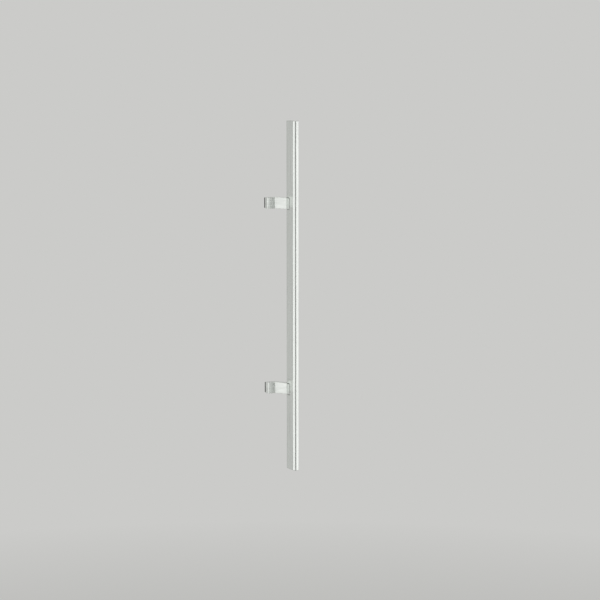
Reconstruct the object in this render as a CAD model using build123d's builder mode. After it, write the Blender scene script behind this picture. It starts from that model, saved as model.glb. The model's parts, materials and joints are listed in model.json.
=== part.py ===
"""A door push bar: a flat stainless bar with rounded edges, stood off the door by two dog-leg brackets.

Millimetres. X runs to the right along the door, Y into the door and Z up. The origin lies midway between the
two fixing holes, on the plane of the feet, so the bar stands out towards -Y.
"""

import os

from build123d import *

# Grip bar
bar_length = 750.0
bar_depth = 38.0
bar_thickness = 13.0
bar_end_round = 1.0

# Where the bar stands: clear of the door, and to the right of the fixing holes
fixing_spacing = 400.0
hand_clearance = 34.0
bar_offset = 29.5

# Bracket: the foot on the door, the leaning arm, and the tongue let into the side of the bar
bracket_height = 24.0
foot_inset = 9.5
foot_front = 18.0
foot_thickness = 11.0
foot_edge_round = 1.5
arm_thickness = 10.0
arm_overlap = 4.0
inner_bend = 2.0
outer_bend = 4.0
tongue_reach = 17.0
tongue_thickness = 7.0
tongue_corner = 4.0
rim_round = 0.6

# Fit of the bracket in the bar
joint_gap = 1.0
pocket_rim_round = 0.3
saddle_clearance = 0.3

# Blind fixing hole in each foot, cut at the core diameter of an M8 thread
fixing_hole_radius = 3.4
fixing_hole_skin = 3.0
fixing_hole_chamfer = 0.4

# Foot gasket
gasket_thickness = 4.0
gasket_inset = 0.3
gasket_hole_radius = 4.5
gasket_corner = 1.0

# Countersunk socket screws, M5, two to a bracket
screw_radius = 2.5
screw_pitch = 12.0
screw_engagement = 4.0
screw_run_out = 1.0
screw_head_radius = 5.0
screw_head_angle = 90.0
screw_head_sink = 0.2
screw_key_width = 3.0
screw_key_depth = 1.9
screw_clearance = 0.25
thread_clearance = 0.02

# Faces of the bar
bar_left = bar_offset - bar_thickness / 2
bar_right = bar_offset + bar_thickness / 2
bar_back = gasket_thickness - hand_clearance
bar_middle = bar_back - bar_depth / 2
pocket_floor = bar_left + tongue_thickness
levels = {"upper": fixing_spacing / 2, "lower": -fixing_spacing / 2}

# Corners of the bracket in plan. The front of the arm runs from its root on the foot to the side of the bar,
# and the back of the arm runs beside it from the heel of the foot to the bar's round back edge.
foot_back = Vector(-foot_inset, 0)
foot_edge = Vector(-foot_inset, -foot_thickness)
arm_root = Vector(foot_front - foot_inset, -foot_thickness)
arm_landing = Vector(bar_left, bar_back - arm_overlap)
arm_direction = (arm_landing - arm_root).normalized()
arm_rear = arm_root + Vector(-arm_direction.Y, arm_direction.X) * arm_thickness
foot_heel = arm_rear - arm_direction * (arm_rear.Y / arm_direction.Y)
bar_edge_centre = Vector(bar_offset, bar_back - bar_thickness / 2)
arm_end = arm_rear + arm_direction * (bar_edge_centre - arm_rear).dot(arm_direction)

# The screws stand midway along the flat of the tongue
screw_setback = (bar_thickness / 2 + tongue_reach) / 2
screw_length = bar_thickness - tongue_thickness - screw_head_sink + screw_engagement


def screw_planes(x, level):
    """The planes square to the two screws of the bracket at this level, at this distance across."""
    return [
        Plane((x, bar_back - screw_setback, level + side * screw_pitch / 2), (0, 1, 0), (1, 0, 0))
        for side in (1, -1)
    ]


# Grip bar, with a pocket for each tongue that is open to the back edge
with BuildPart() as grip_bar:
    with BuildSketch():
        with Locations((bar_offset, bar_middle)):
            SlotOverall(bar_depth, bar_thickness, rotation=90)
    extrude(amount=bar_length / 2, both=True)
    fillet(grip_bar.faces().filter_by(Axis.Z).edges(), radius=bar_end_round)
    for level in levels.values():
        with BuildSketch(Plane.YZ.offset(bar_left)) as pocket:
            with Locations((bar_back, level)):
                Rectangle(2 * (tongue_reach + joint_gap), bracket_height + 2 * joint_gap)
            fillet(pocket.vertices(), radius=tongue_corner + joint_gap)
        extrude(amount=tongue_thickness, mode=Mode.SUBTRACT)
        # The rim is rounded from the front of the pocket along both of its sides to the back edge
        pocket_front = grip_bar.edges(Select.LAST).filter_by(Axis.Z).group_by(Axis.Y)[0]
        fillet(pocket_front.sort_by(Axis.X)[0], radius=pocket_rim_round)
        with Locations(*screw_planes(bar_right, level)):
            CounterSinkHole(
                screw_radius + screw_clearance,
                screw_head_radius + screw_head_sink,
                depth=bar_thickness - tongue_thickness,
                counter_sink_angle=screw_head_angle,
            )

grip_bar.part.label = "grip_bar"

# Brackets
brackets = {}
for name, level in levels.items():
    with BuildPart() as bracket:
        with BuildSketch(Plane.XY.offset(level)) as plan:
            with BuildLine():
                Polyline(
                    foot_back,
                    foot_edge,
                    arm_root,
                    arm_landing,
                    bar_edge_centre,
                    arm_end,
                    foot_heel,
                    close=True,
                )
            make_face()
            fillet(plan.vertices().sort_by_distance(foot_edge)[0], radius=foot_edge_round)
            fillet(plan.vertices().sort_by_distance(arm_root)[0], radius=inner_bend)
            fillet(plan.vertices().sort_by_distance(foot_heel)[0], radius=outer_bend)
            # The end of the arm is hollowed to sit on the bar's round back edge
            with Locations((bar_offset, bar_middle)):
                SlotOverall(
                    bar_depth + 2 * saddle_clearance,
                    bar_thickness + 2 * saddle_clearance,
                    rotation=90,
                    mode=Mode.SUBTRACT,
                )
            with Locations((bar_left, bar_back)):
                Rectangle(tongue_thickness, tongue_reach, align=(Align.MIN, Align.MAX))
        extrude(amount=bracket_height / 2, both=True)
        tongue_corners = bracket.edges().filter_by(Axis.X).group_by(Axis.Y)[0]
        fillet(tongue_corners, radius=tongue_corner)
        fillet(bracket.faces().filter_by(Axis.Z).edges(), radius=rim_round)
        with Locations(Plane((0, 0, level), (1, 0, 0), (0, 1, 0))):
            Hole(fixing_hole_radius, depth=foot_thickness - fixing_hole_skin)
        hole_mouth = bracket.edges().filter_by(GeomType.CIRCLE).group_by(Axis.Y)[-1]
        chamfer(hole_mouth, length=fixing_hole_chamfer)
        with Locations(*screw_planes(pocket_floor, level)):
            Hole(screw_radius + thread_clearance, depth=screw_engagement + screw_run_out)
    bracket.part.label = f"{name}_bracket"
    brackets[name] = bracket.part

# Gaskets, cut to the flat of the foot
gaskets = {}
for name, level in levels.items():
    foot_flat = brackets[name].faces().sort_by(Axis.Y)[-1].bounding_box()
    with BuildPart() as gasket:
        with BuildSketch(Plane((0, 0, level), (-1, 0, 0), (0, 1, 0))):
            with Locations((-foot_flat.center().X, 0)):
                RectangleRounded(
                    foot_flat.size.X - 2 * gasket_inset,
                    foot_flat.size.Z - 2 * gasket_inset,
                    gasket_corner,
                )
            Circle(gasket_hole_radius, mode=Mode.SUBTRACT)
        extrude(amount=gasket_thickness)
    gasket.part.label = f"{name}_foot_gasket"
    gaskets[name] = gasket.part

# Screws, with their heads sunk just under the bar's side
with BuildPart() as bracket_screws:
    for level in levels.values():
        heads = screw_planes(bar_right - screw_head_sink, level)
        with Locations(*heads):
            Cylinder(screw_radius, screw_length, align=(Align.CENTER, Align.CENTER, Align.MAX))
            Cone(
                screw_radius,
                screw_head_radius,
                screw_head_radius - screw_radius,
                align=(Align.CENTER, Align.CENTER, Align.MAX),
            )
        with BuildSketch(*heads):
            RegularPolygon(screw_key_width / 2, 6, major_radius=False)
        extrude(amount=-screw_key_depth, mode=Mode.SUBTRACT)

bracket_screws.part.label = "bracket_screws"

os.makedirs("parts", exist_ok=True)
export_step(grip_bar.part, "parts/grip_bar.step")
export_step(bracket_screws.part, "parts/bracket_screws.step")
for name in levels:
    export_step(brackets[name], f"parts/{name}_bracket.step")
    export_step(gaskets[name], f"parts/{name}_foot_gasket.step")
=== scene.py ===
# %% [markdown]
# # A door push bar in satin stainless steel
# This is a straight grip bar that stands off an entrance door on two dog-leg brackets. Its shape is already
# whole: the CAD solids were packed in metres, with the door behind at +Y and the bar in front at -Y. What
# Blender adds is the surface of each piece, the cut threads that are too fine for the solids, and a plain
# studio to see it in.

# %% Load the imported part
import json
import math

import bmesh
import bpy
from mathutils import Euler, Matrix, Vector


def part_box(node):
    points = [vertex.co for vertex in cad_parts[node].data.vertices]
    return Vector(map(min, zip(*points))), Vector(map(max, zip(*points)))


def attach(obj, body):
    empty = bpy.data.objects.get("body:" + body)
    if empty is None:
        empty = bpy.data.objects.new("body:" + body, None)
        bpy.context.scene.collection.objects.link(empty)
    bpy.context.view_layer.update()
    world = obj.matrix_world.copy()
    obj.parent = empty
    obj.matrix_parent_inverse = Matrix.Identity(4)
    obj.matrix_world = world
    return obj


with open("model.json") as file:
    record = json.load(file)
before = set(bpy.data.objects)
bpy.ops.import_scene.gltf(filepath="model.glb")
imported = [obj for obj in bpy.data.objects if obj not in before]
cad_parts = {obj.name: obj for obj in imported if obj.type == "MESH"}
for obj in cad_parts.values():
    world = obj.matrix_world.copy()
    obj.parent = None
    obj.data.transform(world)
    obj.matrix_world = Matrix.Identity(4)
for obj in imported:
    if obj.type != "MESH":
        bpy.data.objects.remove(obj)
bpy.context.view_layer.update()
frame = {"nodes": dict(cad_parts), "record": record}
MM = 0.001
print("pieces:", ", ".join(sorted(frame["nodes"])))

# %% [markdown]
# ## Three small helpers
# Paint charts and photo editors give colours as sRGB hex values, while Cycles counts light in linear
# numbers, so one function turns the first into the second. Materials are trees of nodes. A second function
# adds any node with its settings and its inputs, where an input is either a plain value or the output
# socket of an earlier node. A third starts a new material with an empty tree.

# %% Colour and node helpers
def linear(hex_colour):
    """The linear RGBA of an sRGB hex colour such as #D3D6D3."""
    parts = [int(hex_colour[i:i + 2], 16) / 255 for i in (1, 3, 5)]
    return [p / 12.92 if p <= 0.04045 else ((p + 0.055) / 1.055) ** 2.4 for p in parts] + [1.0]


def add_node(tree, kind, inputs=None, **settings):
    """Adds one node to a tree. Each input is a value, or the output socket that feeds it."""
    node = tree.nodes.new(kind)
    for name, value in settings.items():
        setattr(node, name, value)
    for name, value in (inputs or {}).items():
        if isinstance(value, bpy.types.NodeSocket):
            tree.links.new(value, node.inputs[name])
        else:
            node.inputs[name].default_value = value
    return node


def blank_material(name):
    """A new material with an empty tree, and its output node."""
    material = bpy.data.materials.new(name)
    material.use_nodes = True
    material.node_tree.nodes.clear()
    return material, add_node(material.node_tree, "ShaderNodeOutputMaterial")


print("sRGB #D3D6D3 is linear", [round(value, 3) for value in linear("#D3D6D3")[:3]])

# %% [markdown]
# ## Painted shade in the joint
# The grip bar and the brackets are solid stainless steel, ground on a belt. The tongue of each bracket lies
# in a pocket of the bar, and the walls of that joint are painted darker, as painted shade, except where they
# look down, so that a fine dark line shows round the tongue. These walls could get a second material, but
# nothing in a mesh says which faces they are. Instead, a few nodes tell from a point's place whether it lies
# on the skin of the bar or inside it, and from the way it faces whether it gets the painted shade and which
# way the belt ran.

# %% Skin, undersides and ends
# Between these two depths under the skin, the walls of the joint fade into their painted shade
SHADE_START_DEPTH = 0.04 * MM
SHADE_FULL_DEPTH = 0.07 * MM
END_MARGIN = 2.0 * MM
LEVEL_FACE = 0.7
# Faces that look further down than this keep the plain steel colour, with no painted shade
UNDERSIDE = -0.2

bar_low, bar_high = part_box("grip_bar")
bar_middle = (bar_low + bar_high) / 2
bar_half = (bar_high - bar_low) / 2
edge_radius = bar_half.x
# The skin lies one edge radius from this flat core, which stops short of the ends so that they count as skin
bar_core = Vector((0, bar_half.y - edge_radius, bar_half.z - edge_radius - END_MARGIN))


def looks_up(tree):
    """1 where the surface looks straight up, 0 where it stands upright and -1 where it looks down."""
    facing = add_node(tree, "ShaderNodeNewGeometry").outputs["True Normal"]
    return add_node(tree, "ShaderNodeSeparateXYZ", {"Vector": facing}).outputs["Z"]


def level_face(tree, upward):
    """1 where the surface looks up or down, as at the ends of the bar, and 0 on the upright faces."""
    steepness = add_node(tree, "ShaderNodeMath", {0: upward}, operation="ABSOLUTE").outputs["Value"]
    level = add_node(tree, "ShaderNodeMath", {0: steepness, 1: LEVEL_FACE}, operation="GREATER_THAN")
    return level.outputs["Value"]


def unshaded_steel_mask(tree, place, upward):
    """1 on the skin of the bar, clear of it and on undersides; 0 on walls let into it, where shade is
    painted.
    """
    centred = add_node(tree, "ShaderNodeVectorMath", {0: place, 1: bar_middle}, operation="SUBTRACT")
    folded = add_node(tree, "ShaderNodeVectorMath", {0: centred.outputs["Vector"]}, operation="ABSOLUTE")
    beyond = add_node(
        tree,
        "ShaderNodeVectorMath",
        {0: folded.outputs["Vector"], 1: bar_core},
        operation="SUBTRACT",
    )
    off_core = add_node(
        tree,
        "ShaderNodeVectorMath",
        {0: beyond.outputs["Vector"], 1: (0, 0, 0)},
        operation="MAXIMUM",
    )
    distance = add_node(tree, "ShaderNodeVectorMath", {0: off_core.outputs["Vector"]}, operation="LENGTH")
    skin = add_node(
        tree,
        "ShaderNodeMapRange",
        {
            "Value": distance.outputs["Value"],
            "From Min": edge_radius - SHADE_FULL_DEPTH,
            "From Max": edge_radius - SHADE_START_DEPTH,
        },
    )
    below = add_node(tree, "ShaderNodeMath", {0: upward, 1: UNDERSIDE}, operation="LESS_THAN")
    either = {0: skin.outputs["Result"], 1: below.outputs["Value"]}
    return add_node(tree, "ShaderNodeMath", either, operation="MAXIMUM").outputs["Value"]


print("the bar's long edges have a radius of", round(edge_radius / MM, 2), "mm")

# %% [markdown]
# ## Stainless steel, belt ground to a satin finish
# A belt draws fine parallel scratches along each piece, so the steel looks silky: a lamp is mirrored as a
# soft streak, stretched across the scratches, and faint lighter and darker streaks run along them. The
# scratches could be painted as an image, but stretched noise needs no image and runs on over every edge.
# One function serves both pieces. Faces that look up or down are ground from front to back, and the walls
# of the joint get painted shade, a darker colour, so that a fine dark line shows round the tongue.

# %% Satin steel
END_SCRATCH_MM = (1.0, 40.0, 1.0)
SCRATCH_RELIEF = 0.02 * MM
STREAK_STRETCH = 0.5
TONE_STOPS = (0.3, 0.6)


def per_size(size_mm):
    """The mapping scale that makes one step of a pattern this size in millimetres along x, y and z."""
    return [1 / (MM * size) for size in size_mm]


def satin_steel(name, steel, scratched, joint_shade, scratch_mm, belt_pass_mm, roughness, spread, turn):
    """Ground steel, with the sizes of a scratch and of a wider belt pass along x, y and z."""
    material, output = blank_material(name)
    tree = material.node_tree
    place = add_node(tree, "ShaderNodeTexCoord").outputs["Object"]
    upward = looks_up(tree)
    along = add_node(tree, "ShaderNodeMapping", {"Vector": place, "Scale": per_size(scratch_mm)})
    across = add_node(tree, "ShaderNodeMapping", {"Vector": place, "Scale": per_size(END_SCRATCH_MM)})
    grain = add_node(
        tree,
        "ShaderNodeMix",
        {"Factor": level_face(tree, upward), "A": along.outputs["Vector"], "B": across.outputs["Vector"]},
        data_type="VECTOR",
    )
    scratches = add_node(
        tree,
        "ShaderNodeTexNoise",
        {"Vector": grain.outputs["Result"], "Scale": 1.0, "Detail": 3.0, "Roughness": 0.6},
    )
    wider = add_node(tree, "ShaderNodeMapping", {"Vector": place, "Scale": per_size(belt_pass_mm)})
    passes = add_node(
        tree,
        "ShaderNodeTexNoise",
        {"Vector": wider.outputs["Vector"], "Scale": 1.0, "Detail": 1.0},
    )
    # Scratches hold a little less light than the lands between them
    tone = add_node(tree, "ShaderNodeValToRGB", {"Fac": scratches.outputs["Fac"]})
    for element, stop, shade in zip(tone.color_ramp.elements, TONE_STOPS, (scratched, steel)):
        element.position = stop
        element.color = linear(shade)
    # Painted shade: the walls of the joint are darkened, except where they look down
    colour = add_node(
        tree,
        "ShaderNodeMix",
        {"Factor": unshaded_steel_mask(tree, place, upward), "A": linear(joint_shade), "B": tone.outputs["Color"]},
        data_type="RGBA",
    )
    dullness = add_node(
        tree,
        "ShaderNodeMapRange",
        {
            "Value": passes.outputs["Fac"],
            "From Min": 0.3,
            "From Max": 0.7,
            "To Min": roughness - spread,
            "To Max": roughness + spread,
        },
    )
    relief = add_node(
        tree,
        "ShaderNodeBump",
        {"Height": scratches.outputs["Fac"], "Strength": 0.2, "Distance": SCRATCH_RELIEF},
    )
    girth = add_node(tree, "ShaderNodeTangent", direction_type="RADIAL", axis="Z")
    surface = add_node(
        tree,
        "ShaderNodeBsdfPrincipled",
        {
            "Base Color": colour.outputs["Result"],
            "Metallic": 1.0,
            "Roughness": dullness.outputs["Result"],
            "Anisotropic": STREAK_STRETCH,
            "Anisotropic Rotation": turn,
            "Tangent": girth.outputs["Tangent"],
            "Normal": relief.outputs["Normal"],
        },
    )
    tree.links.new(surface.outputs["BSDF"], output.inputs["Surface"])
    return material


print("scratches 1 mm wide need a scale of", round(per_size([1.0])[0]))

# %% [markdown]
# ## The steel of the bar and of the brackets
# The two kinds of piece went over the belt in different directions: the bar lengthwise, the brackets level
# along foot and arm. The bar came off a finer belt and mirrors more sharply. The direction is set twice,
# once by the size of a scratch along x, y and z, and once by the turn of the streaks that lamps leave, where
# a quarter turn lays them upright across level scratches. A 180 grit belt leaves scratches about 0.1 mm
# wide, and here they are drawn ten times as wide, so that they show.

# %% Bar steel and bracket steel
bar_steel = satin_steel(
    "stainless_steel_ground_lengthwise",
    steel="#DEE1DE",
    scratched="#CACDCA",
    # The walls of the bar's pocket get a faint painted shade
    joint_shade="#D2D4D2",
    scratch_mm=(1.0, 1.0, 120.0),
    belt_pass_mm=(12.0, 12.0, 160.0),
    roughness=0.24,
    spread=0.03,
    turn=0.0,
)
bracket_steel = satin_steel(
    "stainless_steel_ground_level",
    steel="#E2E5E2",
    scratched="#D2D5D2",
    # The tongue's walls get a deep painted shade, which draws the dark line round it
    joint_shade="#2C2D2C",
    scratch_mm=(30.0, 30.0, 1.0),
    belt_pass_mm=(25.0, 25.0, 8.0),
    roughness=0.36,
    spread=0.04,
    turn=0.25,
)
print("satin steels:", bar_steel.name, bracket_steel.name)

# %% [markdown]
# ## Small steel and rubber
# The countersunk screws are cold headed from wire and tumbled clean, so they have no scratches in one
# direction, only a fine mottle, and they are a little darker than the ground bar. The threads in the feet
# are cut with a tap. The pads under the feet are die cut from black EPDM rubber sheet: dull, with the faint
# grain of the calender rolls. Each could have a tree of nodes of its own, but they differ only in numbers,
# so one function makes all three.

# %% Mottled surfaces
MOTTLE_STOPS = (0.35, 0.65)
GRAIN_SPREAD = 0.1


def mottled(name, colours, metallic, roughness, grain_mm, relief_mm, gloss=0.5):
    """A surface with an even mottle of two tones, and a grain of this size and height."""
    material, output = blank_material(name)
    tree = material.node_tree
    place = add_node(tree, "ShaderNodeTexCoord").outputs["Object"]
    grain = add_node(
        tree,
        "ShaderNodeTexNoise",
        {"Vector": place, "Scale": 1 / (MM * grain_mm), "Detail": 4.0, "Roughness": 0.65},
    )
    tone = add_node(tree, "ShaderNodeValToRGB", {"Fac": grain.outputs["Fac"]})
    for element, stop, shade in zip(tone.color_ramp.elements, MOTTLE_STOPS, colours):
        element.position = stop
        element.color = linear(shade)
    dullness = add_node(
        tree,
        "ShaderNodeMapRange",
        {
            "Value": grain.outputs["Fac"],
            "To Min": roughness - GRAIN_SPREAD,
            "To Max": roughness + GRAIN_SPREAD,
        },
    )
    relief = add_node(
        tree,
        "ShaderNodeBump",
        {"Height": grain.outputs["Fac"], "Strength": 0.5, "Distance": relief_mm * MM},
    )
    surface = add_node(
        tree,
        "ShaderNodeBsdfPrincipled",
        {
            "Base Color": tone.outputs["Color"],
            "Metallic": metallic,
            "Roughness": dullness.outputs["Result"],
            "Specular IOR Level": gloss,
            "Normal": relief.outputs["Normal"],
        },
    )
    tree.links.new(surface.outputs["BSDF"], output.inputs["Surface"])
    return material


# Tumbled steel has an even sheen, a little duller and darker than the ground bar
screw_steel = mottled(
    "stainless_steel_cold_headed",
    colours=("#A9ABAB", "#B9BBBA"),
    metallic=1.0,
    roughness=0.3,
    grain_mm=0.6,
    relief_mm=0.01,
)
# A tap leaves clean flanks that glint in a dark hole
thread_steel = mottled(
    "stainless_steel_tapped",
    colours=("#A3A6A3", "#B4B7B4"),
    metallic=1.0,
    roughness=0.28,
    grain_mm=0.5,
    relief_mm=0.01,
)
# Rubber sheet swallows light, and its low gloss keeps the cut edges black
gasket_rubber = mottled(
    "epdm_rubber_die_cut",
    colours=("#121213", "#1B1B1C"),
    metallic=0.0,
    roughness=0.75,
    grain_mm=0.5,
    relief_mm=0.03,
    gloss=0.15,
)
print("other materials:", screw_steel.name, thread_steel.name, gasket_rubber.name)

# %% [markdown]
# ## Dress the CAD pieces
# Every CAD solid keeps its own mesh and place. Dressing one means putting the right material in its slot,
# and the table below reads like a cutting list: which piece is made of what.

# %% Put each material on its pieces
FINISHES = {
    "grip_bar": bar_steel,
    "upper_bracket": bracket_steel,
    "lower_bracket": bracket_steel,
    "bracket_screws": screw_steel,
    "upper_foot_gasket": gasket_rubber,
    "lower_foot_gasket": gasket_rubber,
}
for piece_name, finish in FINISHES.items():
    piece = frame["nodes"][piece_name]
    piece.data.materials.clear()
    piece.data.materials.append(finish)
    print(piece_name, "is", finish.name)

# %% [markdown]
# ## The tapped holes in the feet
# Each foot has a blind hole with an M8 thread, where a screw from behind the door holds the handle. The
# solid has only the plain core hole, because a thread is a very fine shape. Here a ridge winds round the
# wall of that hole: a small triangle is carried along a helix, and it tapers away at both ends as a tapped
# thread does. The hole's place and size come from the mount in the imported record, so thread and hole can't
# drift apart.

# %% Wind a thread into each fixing hole
THREAD_PITCH = 1.25 * MM
THREAD_DEPTH = 7.0 * MM
THREAD_START = 0.6 * MM
RIDGE_HEIGHT = 0.35 * MM
RIDGE_SUNK = 0.02 * MM
RIDGE_HALF_WIDTH = 0.45 * THREAD_PITCH
STEPS_PER_TURN = 40
TAPER_TURNS = 0.6

fixing = next(m for m in frame["record"]["mounts"] if m["name"] == "door_fixing")
hole_radius = fixing["dims"]["hole_r_mm"] * MM
hole_spacing = fixing["dims"]["spacing_y_mm"] * MM
hole_middle = Vector(fixing["pos_m"])


def wind_thread(name, mouth):
    """A helical ridge in a hole that runs from its mouth towards -Y."""
    turns = (THREAD_DEPTH - THREAD_START) / THREAD_PITCH
    steps = round(turns * STEPS_PER_TURN)
    mesh = bmesh.new()
    rings = []
    for step in range(steps + 1):
        turn = step / STEPS_PER_TURN
        taper = min(1.0, turn / TAPER_TURNS, (turns - turn) / TAPER_TURNS)
        height = max(0.0, RIDGE_HEIGHT * taper)
        angle = 2 * math.pi * turn
        depth = THREAD_START + turn * THREAD_PITCH
        ring = []
        for rise, lean in ((0, -RIDGE_HALF_WIDTH), (height + RIDGE_SUNK, 0), (0, RIDGE_HALF_WIDTH)):
            reach = hole_radius + RIDGE_SUNK - rise
            place = Vector((reach * math.cos(angle), -depth - lean, reach * math.sin(angle)))
            ring.append(mesh.verts.new(mouth + place))
        rings.append(ring)
    for ring, following in zip(rings, rings[1:]):
        for i in range(3):
            j = (i + 1) % 3
            mesh.faces.new((ring[i], ring[j], following[j], following[i]))
    mesh.faces.new(rings[0])
    mesh.faces.new(rings[-1])
    bmesh.ops.recalc_face_normals(mesh, faces=mesh.faces)
    data = bpy.data.meshes.new(name)
    mesh.to_mesh(data)
    mesh.free()
    piece = bpy.data.objects.new(name, data)
    bpy.context.scene.collection.objects.link(piece)
    piece.data.materials.append(thread_steel)
    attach(piece, "root")
    return piece


for piece_name, side in (("upper_fixing_thread", 1), ("lower_fixing_thread", -1)):
    mouth = hole_middle + Vector((0, 0, side * hole_spacing / 2))
    thread = wind_thread(piece_name, mouth)
    print(piece_name, "has", len(thread.data.polygons), "faces")

# %% [markdown]
# ## A pale studio
# Bare metal has no look of its own: it shows what stands round it. So the studio is built as a photographer
# would build it for steel. The room and the floor are pale, tall soft boxes stand round the bar in a ring
# that is open behind it, and one more hangs overhead. The bar's rounded edge mirrors the ring all at once,
# and that draws the bright lines down its length. The room could be a sphere of painted walls, but the
# world's background does the same with no mesh. The camera and the metal see it at full strength, and dull
# surfaces get a little less light from it, so that shadows stay soft but clear.

# %% Pale room
ROOM = "#CBCBC9"
ROOM_LIGHT = 0.9

world = bpy.data.worlds.new("pale_room")
bpy.context.scene.world = world
world.use_nodes = True
world.node_tree.nodes.clear()
rays = add_node(world.node_tree, "ShaderNodeLightPath")
seen = rays.outputs["Is Camera Ray"]
for kind in ("Is Glossy Ray", "Is Transmission Ray"):
    pair = {0: seen, 1: rays.outputs[kind]}
    seen = add_node(world.node_tree, "ShaderNodeMath", pair, operation="MAXIMUM").outputs["Value"]
level = add_node(world.node_tree, "ShaderNodeMapRange", {"Value": seen, "To Min": ROOM_LIGHT, "To Max": 1.0})
room = add_node(
    world.node_tree,
    "ShaderNodeBackground",
    {"Color": linear(ROOM), "Strength": level.outputs["Result"]},
)
add_node(world.node_tree, "ShaderNodeOutputWorld", {"Surface": room.outputs["Background"]})
print(world.name, "lights dull surfaces at", ROOM_LIGHT, "of its strength")

# %% [markdown]
# ## The floor
# The floor is a disc of matt paint, far enough below the bar to catch no hard shadow. A plane with a sharp
# edge would draw a horizon across the picture, so the paint fades into the room towards the rim.

# %% Floor
FLOOR = "#D0D0CE"
FLOOR_DROP = 2.2
FLOOR_RADIUS = 6.0
FLOOR_FADE_START = 0.3 * FLOOR_RADIUS
FLOOR_SIDES = 96


def floor_paint():
    """Pale matt paint that fades into the room at the rim of the floor."""
    material, output = blank_material("matt_floor_paint")
    tree = material.node_tree
    place = add_node(tree, "ShaderNodeTexCoord").outputs["Object"]
    distance = add_node(tree, "ShaderNodeVectorMath", {0: place}, operation="LENGTH")
    fade = add_node(
        tree,
        "ShaderNodeMapRange",
        {"Value": distance.outputs["Value"], "From Min": FLOOR_FADE_START, "From Max": FLOOR_RADIUS},
    )
    paint = add_node(tree, "ShaderNodeBsdfDiffuse", {"Color": linear(FLOOR)})
    air = add_node(tree, "ShaderNodeBsdfTransparent")
    blend = add_node(
        tree,
        "ShaderNodeMixShader",
        {0: fade.outputs["Result"], 1: paint.outputs["BSDF"], 2: air.outputs["BSDF"]},
    )
    tree.links.new(blend.outputs["Shader"], output.inputs["Surface"])
    return material


floor_mesh = bmesh.new()
bmesh.ops.create_circle(floor_mesh, cap_ends=True, segments=FLOOR_SIDES, radius=FLOOR_RADIUS)
floor_data = bpy.data.meshes.new("floor")
floor_mesh.to_mesh(floor_data)
floor_mesh.free()
floor = bpy.data.objects.new("floor", floor_data)
floor.location = (0, 0, -FLOOR_DROP)
floor.data.materials.append(floor_paint())
bpy.context.scene.collection.objects.link(floor)
print("floor lies", FLOOR_DROP, "m below the middle of the bar")

# %% [markdown]
# ## Soft boxes
# Each lamp is a large area light that faces the bar. Its power could be tried out in watts, but it is
# easier to say how bright its face should look, on a scale where 1 is white: that takes 4 W for each square
# metre. The room behind a box shows through it and adds to it. Each box has a brightness of its own,
# because a round edge that mirrors an even ring looks flat. They hang a little low, where a camera that
# looks down sees them mirrored. The box overhead lifts the rims of the brackets.

# %% Lamps
WATTS_PER_SQUARE_METRE = 4.0
LAMP_DISTANCE = 2.6
LAMP_HEIGHT = 2.2
LAMP_ELEVATION = -6.5
RING_START = -115.0
RING_STEP = 41.5
RING = {"rear": 0.6, "left": 0.48, "near": 0.58, "front": 0.64, "right": 0.52, "far": 0.52}
TOP_SIDE = 3.0
TOP_BRIGHTNESS = 0.5


def round_the_bar(azimuth, distance, elevation=0.0):
    """The point at this distance, at these angles from straight in front of the door."""
    ahead = Vector((0, -distance, 0))
    return Euler((-math.radians(elevation), 0, math.radians(azimuth))).to_matrix() @ ahead


def soft_box(name, azimuth, elevation, width, height, brightness):
    """An area light that faces the bar."""
    lamp = bpy.data.lights.new(name, "AREA")
    lamp.shape = "RECTANGLE"
    lamp.size = width
    lamp.size_y = height
    lamp.energy = brightness * WATTS_PER_SQUARE_METRE * width * height
    holder = bpy.data.objects.new(name, lamp)
    holder.location = round_the_bar(azimuth, LAMP_DISTANCE, elevation)
    holder.rotation_euler = Euler((math.radians(90 - elevation), 0, math.radians(azimuth)))
    holder.visible_camera = False
    bpy.context.scene.collection.objects.link(holder)
    print(name, "gives", round(lamp.energy, 1), "W")


box_width = 2 * LAMP_DISTANCE * math.tan(math.radians(RING_STEP / 2))
for place, (box_name, brightness) in enumerate(RING.items()):
    azimuth = RING_START + place * RING_STEP
    soft_box(f"{box_name}_soft_box", azimuth, LAMP_ELEVATION, box_width, LAMP_HEIGHT, brightness)
soft_box("top_soft_box", azimuth=0, elevation=90, width=TOP_SIDE, height=TOP_SIDE, brightness=TOP_BRIGHTNESS)

# %% [markdown]
# ## The camera
# The photo looks at the bar from the left and from above, through a long lens. The angle, distance, height
# and focal length were fitted to the bar's ends, the brackets and the joint lines in the photo, taken as
# 600 by 600 pixels.

# %% Camera
PHOTO_WIDTH_PX = 600
FOCAL_PX = 1738.1
CAMERA_AZIMUTH = -30.76
CAMERA_DISTANCE = 3.696
CAMERA_HEIGHT = 0.547
CAMERA_PITCH = 8.581
CAMERA_AIM = Vector((0.0602, -0.028, 0))

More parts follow.
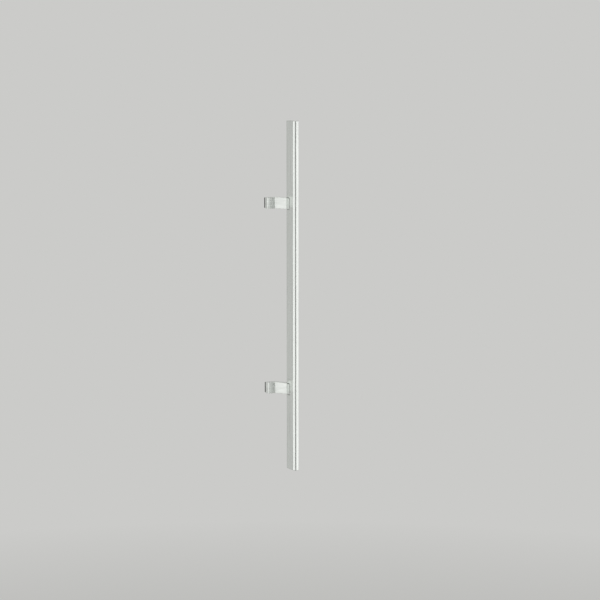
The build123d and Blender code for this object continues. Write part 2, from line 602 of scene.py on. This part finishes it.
camera_data = bpy.data.cameras.new("photo_camera")
camera_data.lens = camera_data.sensor_width * FOCAL_PX / PHOTO_WIDTH_PX
camera = bpy.data.objects.new("photo_camera", camera_data)
camera.location = CAMERA_AIM + round_the_bar(CAMERA_AZIMUTH, CAMERA_DISTANCE) + Vector((0, 0, CAMERA_HEIGHT))
camera.rotation_euler = Euler((math.radians(90 - CAMERA_PITCH), 0, math.radians(CAMERA_AZIMUTH)))
bpy.context.scene.collection.objects.link(camera)
bpy.context.scene.camera = camera
bpy.context.scene.view_settings.view_transform = "Standard"
print("lens:", round(camera_data.lens, 1), "mm")

# %% [markdown]
# ## A dull strip for the dark line
# Photographers hold a narrow strip close to shiny metal, so that a dark line parts two bright ones and a
# round edge reads as round. A black strip would do, but its mirror image comes out grainy, so this one is
# wider and of grey felt. It stands a few centimetres in front of the bar's rounded edge, in line with the
# camera, and the lamps behind it hardly reach the side that the bar sees. From so near, it fills a part of
# that edge's mirror, and the brackets hardly see it. It is hidden from the camera and casts no shadow, so
# only mirrors show it.

# %% Felt strip
FELT = "#B4B4B4"
STRIP_WIDTH = 0.033
STRIP_GAP = 0.036
STRIP_HEIGHT = 0.9

grey_felt, felt_output = blank_material("grey_wool_felt")
felt = add_node(grey_felt.node_tree, "ShaderNodeBsdfDiffuse", {"Color": linear(FELT)})
grey_felt.node_tree.links.new(felt.outputs["BSDF"], felt_output.inputs["Surface"])
# A square of one metre, which the scale then cuts to the size of the strip
strip_mesh = bmesh.new()
bmesh.ops.create_grid(strip_mesh, x_segments=1, y_segments=1, size=0.5)
strip_data = bpy.data.meshes.new("felt_strip")
strip_mesh.to_mesh(strip_data)
strip_mesh.free()
strip = bpy.data.objects.new("felt_strip", strip_data)
strip.scale = (STRIP_WIDTH, STRIP_HEIGHT, 1)
edge_axis = Vector((bar_middle.x, bar_low.y + edge_radius, 0))
strip.location = edge_axis + round_the_bar(CAMERA_AZIMUTH, edge_radius + STRIP_GAP)
strip.rotation_euler = Euler((math.pi / 2, 0, math.radians(CAMERA_AZIMUTH)))
strip.data.materials.append(grey_felt)
strip.visible_camera = False
strip.visible_shadow = False
strip.visible_diffuse = False
bpy.context.scene.collection.objects.link(strip)
print("felt strip is", round(STRIP_WIDTH / MM), "mm wide")
